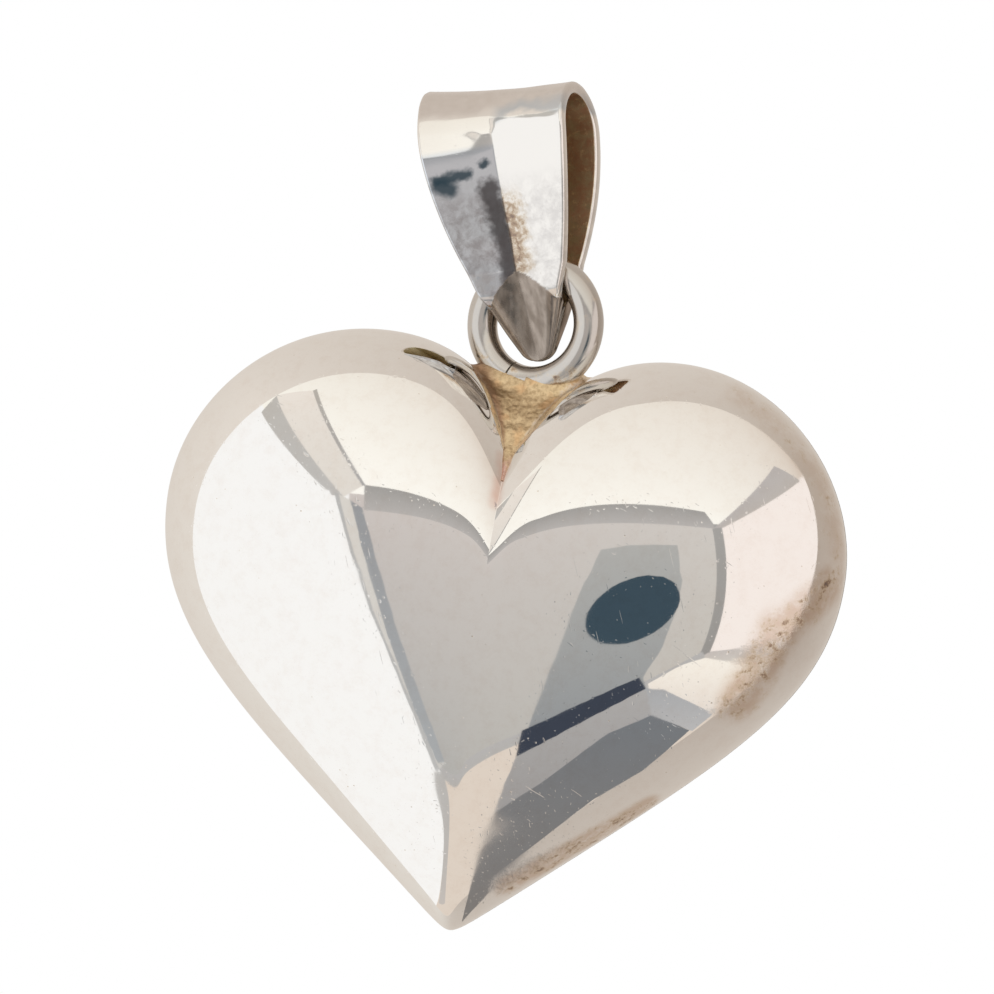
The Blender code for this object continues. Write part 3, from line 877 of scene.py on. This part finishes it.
def drawnSilver():
    material, w, shader = metal("drawnSilver", wireFinish["silver"], wireFinish["roughness"])
    place = local(w, ringCentre, (0, 0, ringYaw))
    part = w.split(place)
    away = w.minus(w.vector("LENGTH", w.compose(part["X"], 0.0, part["Z"])), ring["radius"])
    around = w.math("ARCTAN2", part["Y"], away)
    along = w.math("ARCTAN2", part["Z"], part["X"])
    lines = w.noise(w.compose(w.times(around, 9.0), w.times(along, 0.8)), 2.0, 3.0)
    worn = wornBy(w, *wireFinish["worn"])
    low = w.band(part["Z"], *wireFinish["dullBetween"], 1.0, 0.1)
    patch = w.band(w.noise(place, 1.1, 4.0, 0.6), 0.45, 0.72)
    cover = w.times(w.plus(w.times(low, 0.6), 0.25), patch)
    colour, film = tarnished(w, wireFinish["silver"], cover, wireFinish["grain"])
    rough = w.plus(w.weighed((lines, 0.12), (film, 0.3)), wireFinish["roughness"] - 0.04)
    relief = w.minus(w.times(lines, wireFinish["lines"]), worn["Pits"])
    dress(w, shader, colour, rough, relief, *wireFinish["bump"])
    return material


# Rolled sheet of the bail: polished outside, tarnished inside and brushed where it was filed

sheetFinish = {
    "silver": (0.91, 0.885, 0.85), "roughness": 0.07, "grain": 2.6,
    "worn": (0.6, 0.6, 1.0), "bump": (0.3, 0.02),
    # Heights from the crest at which each begins and is whole, in millimetres
    "crownBetween": (-1.15, -0.35), "blueEdgeReflectionBetween": (-1.5, -1.1), "leftReflectionBetween": (-2.3, -2.7),
    "greyReflectionBetween": (-3.6, -6.0), "filmBetween": (-4.2, -5.8), "filmEnd": (-9.4, -8.6),
    # Painted reflection: bluish tone of the front plate's left panel
    "leftPanelReflection": (0.74, 0.77, 0.81),
    # Painted reflections: the grey tone and the blue-grey edge tone on the next line
    "greyReflection": (0.42, 0.40, 0.405), "blueEdgeReflection": (0.58, 0.62, 0.66), "crest": (0.70, 0.65, 0.61),
    "crestPale": (0.82, 0.78, 0.75), "inside": (0.53, 0.46, 0.29), "insideRed": (0.48, 0.27, 0.17),
    "insideGold": (0.80, 0.62, 0.38), "filed": (0.26, 0.215, 0.18), "filedLight": (0.43, 0.37, 0.32),
    # Painted dark reflections: a streak beside the crease and small spots of the lens; two ends of each and its
    # width
    "darkStreakReflection": ((-0.55, 0.0, -4.7), (-0.1, 0.0, -10.0), 0.8), "darkReflectionTone": (0.075, 0.066, 0.068),
    "spots": (((-3.1, 0.0, -3.85), (-1.5, 0.0, -3.75), 0.22), ((-2.95, 0.0, -4.15), (-2.5, 0.0, -4.35), 0.36),
              ((-0.75, 0.0, -3.4), (-0.5, 0.0, -3.3), 0.16)),
    "lensReflectionTone": (0.05, 0.09, 0.12),
}


def rolledSilver():
    material, w, shader = metal("rolledSilver", sheetFinish["silver"], sheetFinish["roughness"])
    place = local(w, rotation=(0, -bail["lean"], ringYaw))
    x, y, z = w.split(place)
    front = w.band(y, 0.1, -0.3)
    inside = w.attribute("inside")
    filed = w.attribute("filed")
    worn = wornBy(w, *sheetFinish["worn"])
    wave = w.noise(place, 0.55, 2.0)
    mottle = w.noise(place, 1.7, 6.0, 0.65, 0.3)
    # Painted reflections: the left panel bluer, a mottled grey lower down that is also rougher, and a blue-grey
    # edge to the right under the crest; the crest itself is rubbed dull by the chain
    # Bluish reflection of the front wall, painted on the left panel
    leftPanelReflectionMask = w.times(w.band(x, 0.0, -0.08), front, w.band(z, *sheetFinish["leftReflectionBetween"]))
    colour = w.blend(leftPanelReflectionMask, sheetFinish["silver"], sheetFinish["leftPanelReflection"])
    # Mottled grey reflection painted low on the plates, strongest on the left; the sheet there is also rougher
    dulledAndGreyReflection = w.times(w.band(mottle, 0.32, 0.68), w.band(z, *sheetFinish["greyReflectionBetween"]),
                     w.band(x, 0.3, -0.1, 0.35, 0.85))
    colour = w.blend(dulledAndGreyReflection, colour, sheetFinish["greyReflection"])
    high = w.plus(z, w.times(w.minus(wave, 0.5), 1.6), w.times(w.minus(mottle, 0.5), 0.5))
    # Blue-grey reflection painted in a wavy band under the crest, to the right
    edge = w.times(w.band(high, *sheetFinish["blueEdgeReflectionBetween"]), w.band(x, -0.2, 0.6), 0.85)
    colour = w.blend(edge, colour, sheetFinish["blueEdgeReflection"])
    crown = w.band(high, *sheetFinish["crownBetween"])
    colour = w.blend(crown, colour, w.blend(mottle, sheetFinish["crest"], sheetFinish["crestPale"]))
    # Brown film down the right side of the crease, turning blue lower down
    side = w.times(w.band(x, -0.15, -0.02), w.band(w.minus(x, w.times(mottle, 1.6)), -0.65, 0.7, 1.0, 0.0))
    reach = w.times(w.band(z, *sheetFinish["filmBetween"]), w.band(z, *sheetFinish["filmEnd"]),
                    w.plus(w.times(front, 0.7), 0.3))
    colour, film = tarnished(w, colour, w.times(side, reach, 0.62), sheetFinish["grain"])
    # Painted dark reflections on the left panel, a streak and spots, frayed at their edges
    flat = w.compose(x, 0.0, z)
    start, end, width = sheetFinish["darkStreakReflection"]
    # Dark reflection painted in a streak beside the crease
    darkStreakReflection = nearLine(w, w.vector("ADD", flat, w.drift(place, 2.6, 5.0, 0.8)), start, end, 0.25, width)
    darkStreakReflection = w.times(darkStreakReflection, front, w.band(x, 0.02, -0.04), 0.85)
    colour = w.blend(darkStreakReflection, colour, sheetFinish["darkReflectionTone"])
    frayed = w.vector("ADD", flat, w.drift(place, 2.4, 2.0, 0.45))
    # Small blue-black reflections of the lens painted on the left panel
    for start, end, width in sheetFinish["spots"]:
        lensReflection = nearLine(w, frayed, start, end, width * 0.5, width * 1.9)
        colour = w.blend(w.times(lensReflection, front, 0.92), colour, sheetFinish["lensReflectionTone"])
    # Filed face, and the inside of the fold
    brushed = w.noise(w.vector("MULTIPLY", place, (3.0, 3.0, 0.6)), 1.0, 4.0, 0.5)
    streaks = w.band(w.plus(brushed, w.times(wave, 0.5)), 0.55, 0.95)
    colour = w.blend(filed, colour, w.blend(streaks, sheetFinish["filed"], sheetFinish["filedLight"]))
    reddened = w.band(w.plus(mottle, w.times(x, 0.05)), 0.35, 0.9)
    ink = w.blend(reddened, sheetFinish["inside"], sheetFinish["insideRed"])
    ink = w.blend(w.band(w.noise(place, 3.2, 6.0, 0.7), 0.54, 0.72), ink, sheetFinish["insideGold"])
    within = w.band(inside, 0.5, 0.9)
    colour = w.blend(within, colour, ink)
    rough = w.weighed((film, 0.25), (worn["Haze"], 0.05), (crown, 0.12), (dulledAndGreyReflection, 0.22), (filed, 0.10),
                      (within, 0.3))
    grain = w.plus(w.times(brushed, filed, 1.2), w.times(mottle, within, 3.0))
    dips = w.plus(w.times(worn["Scratches"], 0.3), worn["Pits"])
    dress(w, shader, colour, w.plus(rough, sheetFinish["roughness"]), w.minus(grain, dips), *sheetFinish["bump"])
    return material


# Solders: golden and granular in the cleft, grey in the seam and between the plates

solderWorn = (0.2, 1.0, 1.0)
solderBump = (0.5, 0.05)
solders = {
    "seamSolder": {"light": (0.40, 0.37, 0.34), "dark": (0.16, 0.14, 0.13), "roughness": 0.45, "grain": 2.0},
    "tipSolder": {"light": (0.46, 0.42, 0.37), "dark": (0.22, 0.19, 0.16), "roughness": 0.42, "grain": 1.5},
    "cleftSolder": {
        "light": (0.86, 0.68, 0.43), "dark": (0.56, 0.41, 0.24), "roughness": 0.36, "grain": 1.0,
        "bloom": (0.86, 0.56, 0.30), "rust": (0.74, 0.50, 0.42), "rustBetween": (23.9, 23.1),
        "scorch": (0.40, 0.24, 0.15), "bare": (0.82, 0.75, 0.67),
    },
}


def solderMetal(name):
    look = solders[name]
    material, w, shader = metal(name, look["light"], look["roughness"])
    place = local(w, heartTip)
    grit = w.noise(place, 3.6 * look["grain"], 8.0, 0.7, 0.3)
    colour = w.blend(w.band(grit, 0.34, 0.62), look["dark"], look["light"])
    rough = w.plus(w.times(grit, 0.25), look["roughness"] - 0.1)
    relief = w.plus(grit, w.times(w.cells(place, 5.0 * look["grain"]), 0.5))
    if "bloom" in look:     # orange blooms, rust low in the valley, silver where the solder runs thin
        x, y, z = w.split(place)
        thin = w.attribute("thin")
        rusty = w.times(w.band(z, *look["rustBetween"]), w.band(w.noise(place, 1.3, 3.0), 0.3, 0.5))
        scorched = w.times(w.band(x, 0.6, -0.6), w.band(thin, 0.45, 0.8), 0.85)
        bare = w.times(w.band(w.plus(thin, w.times(w.minus(grit, 0.5), 0.8)), 0.78, 1.02),
                       w.band(x, 0.0, 1.2, 0.25, 0.8))
        for mask, tint in ((w.band(w.noise(place, 0.9, 3.0), 0.52, 0.66, 0.0, 0.6), "bloom"), (rusty, "rust"),
                           (scorched, "scorch"), (bare, "bare")):
            colour = w.blend(mask, colour, look[tint])
        rough = w.minus(rough, w.times(bare, 0.16))
        relief = w.times(relief, w.minus(1.0, w.times(bare, 0.6)))
    dress(w, shader, colour, rough, w.minus(relief, wornBy(w, *solderWorn)["Pits"]), *solderBump)
    return material


def finishPiece(item, body, material, node):
    item.data.materials.clear()
    item.data.materials.append(material)
    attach(item, body)
    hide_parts(node)
    print("piece:", item.name, len(item.data.polygons), "faces, replaces", node)


silver = polishedSilver()
finishPiece(frontCup, "heart", silver, "front_shell")
finishPiece(rearCup, "heart", silver, "rear_shell")
finishPiece(seamBead, "heart", solderMetal("seamSolder"), "seam_solder")
finishPiece(wireRing, "heart", drawnSilver(), "loop_ring")
finishPiece(cleftFillet, "heart", solderMetal("cleftSolder"), "cleft_solder")
finishPiece(foldedBail, "bail", rolledSilver(), "bail")
finishPiece(tipSolder, "bail", solderMetal("tipSolder"), "bail_tip_solder")


# Camera: long lens, nearly square to the heart's front

lens = {
    "azimuth": 6.5, "roll": radians(8.05), "distance": 0.40, "field": 49.38 * mm,
    "aim": (-0.695, 0.0, 21.62),     # middle of the picture, in millimetres from the heart's tip
}
picture = 994


def outward(azimuth, elevation=0.0):
    # Direction away from the pendant, in degrees from its front and upwards
    a, e = radians(azimuth), radians(elevation)
    return Vector((sin(a) * cos(e), -cos(a) * cos(e), sin(e)))


def makeCamera():
    data = bpy.data.cameras.new("camera")
    data.sensor_width = 36
    data.lens = data.sensor_width * lens["distance"] / lens["field"]
    data.clip_start = 0.01
    item = linkObject("camera", data)
    back = outward(lens["azimuth"])
    look = (-back).to_track_quat("-Z", "Y").to_matrix().to_4x4()
    item.matrix_world = (Matrix.Translation(heartTip + Vector(lens["aim"]) * mm + back * lens["distance"])
                         @ look @ Matrix.Rotation(lens["roll"], 4, "Z"))
    bpy.context.scene.camera = item
    print("camera:", round(data.lens, 1), "mm lens")
    return item


camera = makeCamera()


# Light tent: pale walls round the pendant that only its reflections see

white = (1.0, 1.0, 1.0)
tent = {
    "radius": 0.60, "layer": 0.012,     # metres
    "steps": 14, "longestEdge": 14, "evenedOver": 3,
    # Corners and outlines are points of the picture, where the front cup mirrors them
    "corners": {
        "frontTopLeft": (350, 493), "frontTopRight": (717, 527), "frontLowLeft": (441, 772),
        "frontLowRight": (705, 655), "backTopLeft": (262, 405), "backTopRight": (803, 476),
        "backLowLeft": (436, 905), "backLowRight": (781, 646),
    },
    # Walls: their corners and the tone at each, or one tone
    "walls": {
        "leftWall": ("backTopLeft frontTopLeft frontLowLeft backLowLeft", (white,) * 4),
        "rightWall": ("frontTopRight backTopRight backLowRight frontLowRight", ((0.98, 0.90, 0.86),) * 4),
        "topWall": ("backTopLeft backTopRight frontTopRight frontTopLeft",
                    ((1.02, 1.0, 0.93), (0.70, 0.60, 0.52), (1.05, 1.03, 0.97), (1.06, 1.04, 0.99))),
        "lowWall": ("frontLowLeft frontLowRight backLowRight backLowLeft", ((0.78, 0.69, 0.61),) * 4),
        "frontWall": ("frontTopLeft frontTopRight frontLowRight frontLowLeft",
                      ((0.65, 0.60, 0.58), (0.66, 0.63, 0.60), (0.60, 0.57, 0.53), (0.47, 0.47, 0.46))),
    },
    # Tones of the wall behind the heart, at its corners and in the middle
    "rear": {"backTopLeft": (0.82, 0.76, 0.70), "backTopRight": (0.50, 0.43, 0.37),
             "backLowRight": (0.43, 0.36, 0.31), "backLowLeft": (0.78, 0.74, 0.69)},
    "behind": (0.70, 0.64, 0.58),
    # Seams and poles: four corners, a tone at the first edge and one at the far edge
    "seams": {
        "topLeftPole": (((262, 412), (277, 396), (344, 497), (333, 497)), (0.55, 0.53, 0.50), (0.55, 0.54, 0.53)),
        "topLeftStrip": (((277, 396), (313, 391), (362, 486), (344, 497)), (0.88, 0.82, 0.76), (0.80, 0.76, 0.71)),
        "topLeftLine": (((313, 391), (317, 389), (366, 485), (362, 486)), (0.50, 0.47, 0.43), (0.42, 0.41, 0.41)),
        "topPole": (((364, 485), (705, 512), (717, 529), (364, 510)), (0.38, 0.37, 0.36), (0.50, 0.48, 0.47)),
        "rightPole": (((711, 524), (721, 524), (709, 655), (700, 655)), (0.40, 0.39, 0.38), (0.34, 0.33, 0.32)),
        "topRightPole": (((712, 530), (774, 466), (800, 481), (724, 527)), (0.52, 0.49, 0.48), (0.54, 0.50, 0.47)),
        "lowPole": (((441, 766), (705, 650), (705, 661), (441, 776)), (0.50, 0.49, 0.49), (0.50, 0.49, 0.48)),
        "lowRightPole": (((704, 652), (780, 641), (782, 652), (704, 663)), (0.60, 0.56, 0.54), (0.66, 0.62, 0.58)),
        "lowLeftPole": (((435, 772), (443, 772), (445, 903), (439, 903)), (0.52, 0.51, 0.50), (0.60, 0.56, 0.53)),
    },
    # What is seen through the front: outline on the picture, tones at its top and bottom, layer
    "shapes": {
        "opening": (((601, 550), (591, 571), (579, 595), (564, 634), (546, 682), (528, 727), (516, 757),
                     (645, 689), (643, 678), (663, 646), (676, 610), (682, 580), (678, 545), (630, 545)),
                    (0.46, 0.46, 0.45), (0.29, 0.31, 0.33), 3),
        "underBar": (((516, 757), (645, 689), (652, 715), (609, 733), (576, 757), (540, 784), (493, 814),
                      (504, 785)), (0.44, 0.43, 0.43), (0.36, 0.35, 0.35), 3),
        "bar": (((639, 677), (645, 689), (516, 757), (522, 731)), (0.05, 0.06, 0.085), (0.05, 0.06, 0.085), 4),
        "darkCloth": (((493, 814), (540, 784), (576, 757), (609, 733), (652, 715), (690, 730), (645, 769),
                       (594, 799), (555, 829), (516, 859), (489, 892), (462, 922), (477, 859)),
                      (0.19, 0.205, 0.225), (0.23, 0.215, 0.205), 4),
        "clothEdge": (((643, 688), (664, 690), (714, 713), (692, 731), (652, 715)),
                      (0.42, 0.43, 0.45), (0.52, 0.52, 0.53), 3),
        "creamPatch": (((705, 658), (750, 664), (711, 712), (652, 700), (648, 684), (684, 664)),
                       (1.0, 0.95, 0.87), (0.85, 0.78, 0.72), 2),
        "leftWhite": (((322, 488), (334, 492), (345, 533), (370, 610), (405, 694), (437, 772), (424, 768),
                       (385, 700), (345, 620), (330, 560)), white, white, 1),
        "leftStrip": (((334, 492), (350, 500), (362, 519), (374, 561), (395, 631), (423, 708), (445, 764),
                       (437, 772), (405, 694), (370, 610), (345, 533)),
                      (0.74, 0.71, 0.67), (0.66, 0.65, 0.63), 2),
        "leftLine": (((334, 492), (339, 494), (348, 533), (373, 610), (408, 694), (440, 770), (436, 772),
                      (405, 694), (370, 610), (345, 533)), (0.50, 0.50, 0.50), (0.52, 0.52, 0.52), 3),
        "leftPole": (((350, 500), (362, 508), (376, 558), (397, 631), (424, 706), (445, 762), (438, 764),
                      (415, 711), (387, 634), (366, 563)), (0.34, 0.35, 0.37), (0.42, 0.44, 0.46), 3),
    },
    "lens": {"centre": (633, 610), "size": (101, 60), "turn": radians(25), "tone": (0.048, 0.078, 0.105),
             "points": 32, "layer": 5},
}
tentCentre = heartTip + Vector((0, 0, heart["domeCentre"])) * mm
mirror = BVHTree.FromPolygons([v.co[:] for v in frontCup.data.vertices],
                              [p.vertices[:] for p in frontCup.data.polygons])


def throughPixel(x, y):
    # From the camera through a pixel of the square picture
    side = lens["field"] / lens["distance"] / picture
    ray = Vector(((x - picture / 2) * side, (picture / 2 - y) * side, -1))
    return camera.matrix_world.translation, (camera.matrix_world.to_3x3() @ ray).normalized()


def mirrored(x, y):
    # Direction that the front cup mirrors at a pixel; the skin's slope is evened out round it
    total = Vector()
    d = tent["evenedOver"]
    for dx, dy in ((0, 0), (d, 0), (-d, 0), (0, d), (0, -d)):
        place, normal, *rest = mirror.ray_cast(*throughPixel(x + dx, y + dy))
        if place:
            total += normal
            hit = place
    ray = throughPixel(x, y)[1]
    normal = total.normalized()
    out = ray - 2 * ray.dot(normal) * normal
    # On to the sphere round the heart
    off = hit - tentCentre
    reach = -off.dot(out) + sqrt(off.dot(out)**2 - off.length_squared + tent["radius"]**2)
    return (off + out * reach).normalized()


def glow(name):
    # Wall that shines in its own corner colours
    material = bpy.data.materials.new(name)
    material.use_nodes = True
    material.node_tree.nodes.clear()
    w = Wiring(material.node_tree)
    light = w.out("ShaderNodeEmission", {"Color": w.attribute("tone", "Color"), "Strength": 1.0})
    w.put("ShaderNodeOutputMaterial", {"Surface": light})
    return material


wallGlow = glow("tentWall")


def tentWall(name, directions, faces, tones, layer):
    # A higher layer lies further in, in front of the others
    radius = tent["radius"] - layer * tent["layer"]
    mesh = bpy.data.meshes.new(name)
    mesh.from_pydata([tuple(tentCentre + d * radius) for d in directions], [], faces)
    shades = mesh.color_attributes.new("tone", "FLOAT_COLOR", "POINT")
    shades.data.foreach_set("color", [c for tone in tones for c in (*tone, 1.0)])
    mesh.materials.append(wallGlow)
    item = linkObject(name, mesh)
    for seenBy in ("camera", "diffuse", "shadow", "transmission"):
        setattr(item, "visible_" + seenBy, False)


def tentPanel(name, corners, tones, layer=0):
    # Four corner directions in order; the tones fade between them
    steps = tent["steps"]
    directions = []
    shades = []
    for i in range(steps + 1):
        for j in range(steps + 1):
            u, v = i / steps, j / steps
            weights = ((1 - u) * (1 - v), u * (1 - v), u * v, (1 - u) * v)
            directions.append(sum((k * p for k, p in zip(weights, corners)), Vector()).normalized())
            shades.append(sum(k * np.array(t) for k, t in zip(weights, tones)))
    faces = [(a, a + steps + 1, a + steps + 2, a + 1)
             for a in (i * (steps + 1) + j for i in range(steps) for j in range(steps))]
    tentWall(name, directions, faces, shades, layer)


def mirroredShape(name, outline, high, low, layer):
    # Flat shape drawn on the picture, laid on the sphere where the front cup mirrors it
    bm = bmesh.new()
    bm.faces.new([bm.verts.new((x, y, 0)) for x, y in outline])
    bmesh.ops.triangulate(bm, faces=bm.faces)
    for k in range(6):
        wide = [e for e in bm.edges if e.calc_length() > tent["longestEdge"]]
        if wide:
            bmesh.ops.subdivide_edges(bm, edges=wide, cuts=1)
            bmesh.ops.triangulate(bm, faces=bm.faces)
    bm.verts.index_update()
    top = min(y for x, y in outline)
    bottom = max(y for x, y in outline)
    directions = [mirrored(v.co.x, v.co.y) for v in bm.verts]
    shades = [np.array(high) + (np.array(low) - high) * (v.co.y - top) / (bottom - top) for v in bm.verts]
    faces = [[v.index for v in f.verts] for f in bm.faces]
    bm.free()
    tentWall(name, directions, faces, shades, layer)


def makeTent():
    c = {name: mirrored(*place) for name, place in tent["corners"].items()}
    for name, (corners, tones) in tent["walls"].items():
        tentPanel(name, [c[corner] for corner in corners.split()], tones)
    behind = Vector((0, 1, 0))
    rear = list(tent["rear"])
    for here, there in zip(rear, rear[1:] + rear[:1]):
        tones = (tent["rear"][here], tent["rear"][there], tent["behind"], tent["behind"])
        tentPanel(here + "Rear", (c[here], c[there], behind, behind), tones)
    for name, (corners, near, far) in tent["seams"].items():
        tentPanel(name, [mirrored(*place) for place in corners], (near, near, far, far), 1)
    for name, (outline, high, low, layer) in tent["shapes"].items():
        mirroredShape(name, outline, high, low, layer)


def makeLensShape():
    # Turned ellipse: the lens that looks in through the opening
    shape = tent["lens"]
    (x, y), (width, height), turn = shape["centre"], shape["size"], shape["turn"]
    oval = [(width / 2 * c, height / 2 * s) for c, s in circle(1, shape["points"])]
    outline = [(x + a * cos(turn) + b * sin(turn), y - a * sin(turn) + b * cos(turn)) for a, b in oval]
    mirroredShape("lensShape", outline, shape["tone"], shape["tone"], shape["layer"])


makeTent()
makeLensShape()


# Floor, room and lamps

studio = {
    "floorDrop": 18, "floorRadius": 110, "floorSides": 96, "floorRoughness": 0.85,
    "floorTones": ((0.86, 0.86, 0.85), (0.90, 0.90, 0.89)),
    "roomLight": 0.55, "lampHeight": 0.45, "lampSize": 0.5,
    "lamps": {"topLamp": (-40, 60, 1.6), "sideLamp": (70, 35, 0.8)},    # azimuth, elevation, watts
}


def makeFloor():
    z = heartTip.z - studio["floorDrop"] * mm
    edge = circle(studio["floorRadius"] * mm, studio["floorSides"])
    floor = meshObject("floor", [(heartTip.x + x, heartTip.y + y, z) for x, y in edge], [tuple(range(len(edge)))])
    material = bpy.data.materials.new("paleFloor")
    material.use_nodes = True
    w = Wiring(material.node_tree)
    shader = material.node_tree.nodes["Principled BSDF"]
    shader.inputs["Roughness"].default_value = studio["floorRoughness"]
    w.feed(shader.inputs["Base Color"], w.blend(w.noise(local(w), 0.8, 4.0), *studio["floorTones"]))
    floor.data.materials.append(material)
    floor.visible_glossy = False


def makeWorld():
    # White for the camera and for reflections, dimmer as light
    world = bpy.data.worlds.new("studio")
    bpy.context.scene.world = world
    world.use_nodes = True
    world.node_tree.nodes.clear()
    w = Wiring(world.node_tree)
    ray = w.put("ShaderNodeLightPath").outputs
    seen = w.most(ray["Is Camera Ray"], ray["Is Glossy Ray"], ray["Is Transmission Ray"])
    dim, full = (w.out("ShaderNodeBackground", {"Color": white, "Strength": strength})
                 for strength in (studio["roomLight"], 1.0))
    w.put("ShaderNodeOutputWorld", {"Surface": w.out("ShaderNodeMixShader", {0: seen, 1: dim, 2: full})})


def makeLamp(name, azimuth, elevation, power):
    data = bpy.data.lights.new(name, "AREA")
    data.size = studio["lampSize"]
    data.energy = power
    item = linkObject(name, data)
    out = outward(azimuth, elevation)
    item.matrix_world = (Matrix.Translation(tentCentre + out * studio["lampHeight"])
                         @ out.to_track_quat("Z", "Y").to_matrix().to_4x4())
    item.visible_glossy = False


makeFloor()
makeWorld()
for name, place in studio["lamps"].items():
    makeLamp(name, *place)
bpy.context.scene.view_settings.view_transform = "Standard"
print("stage: tent, floor and lamps are up")
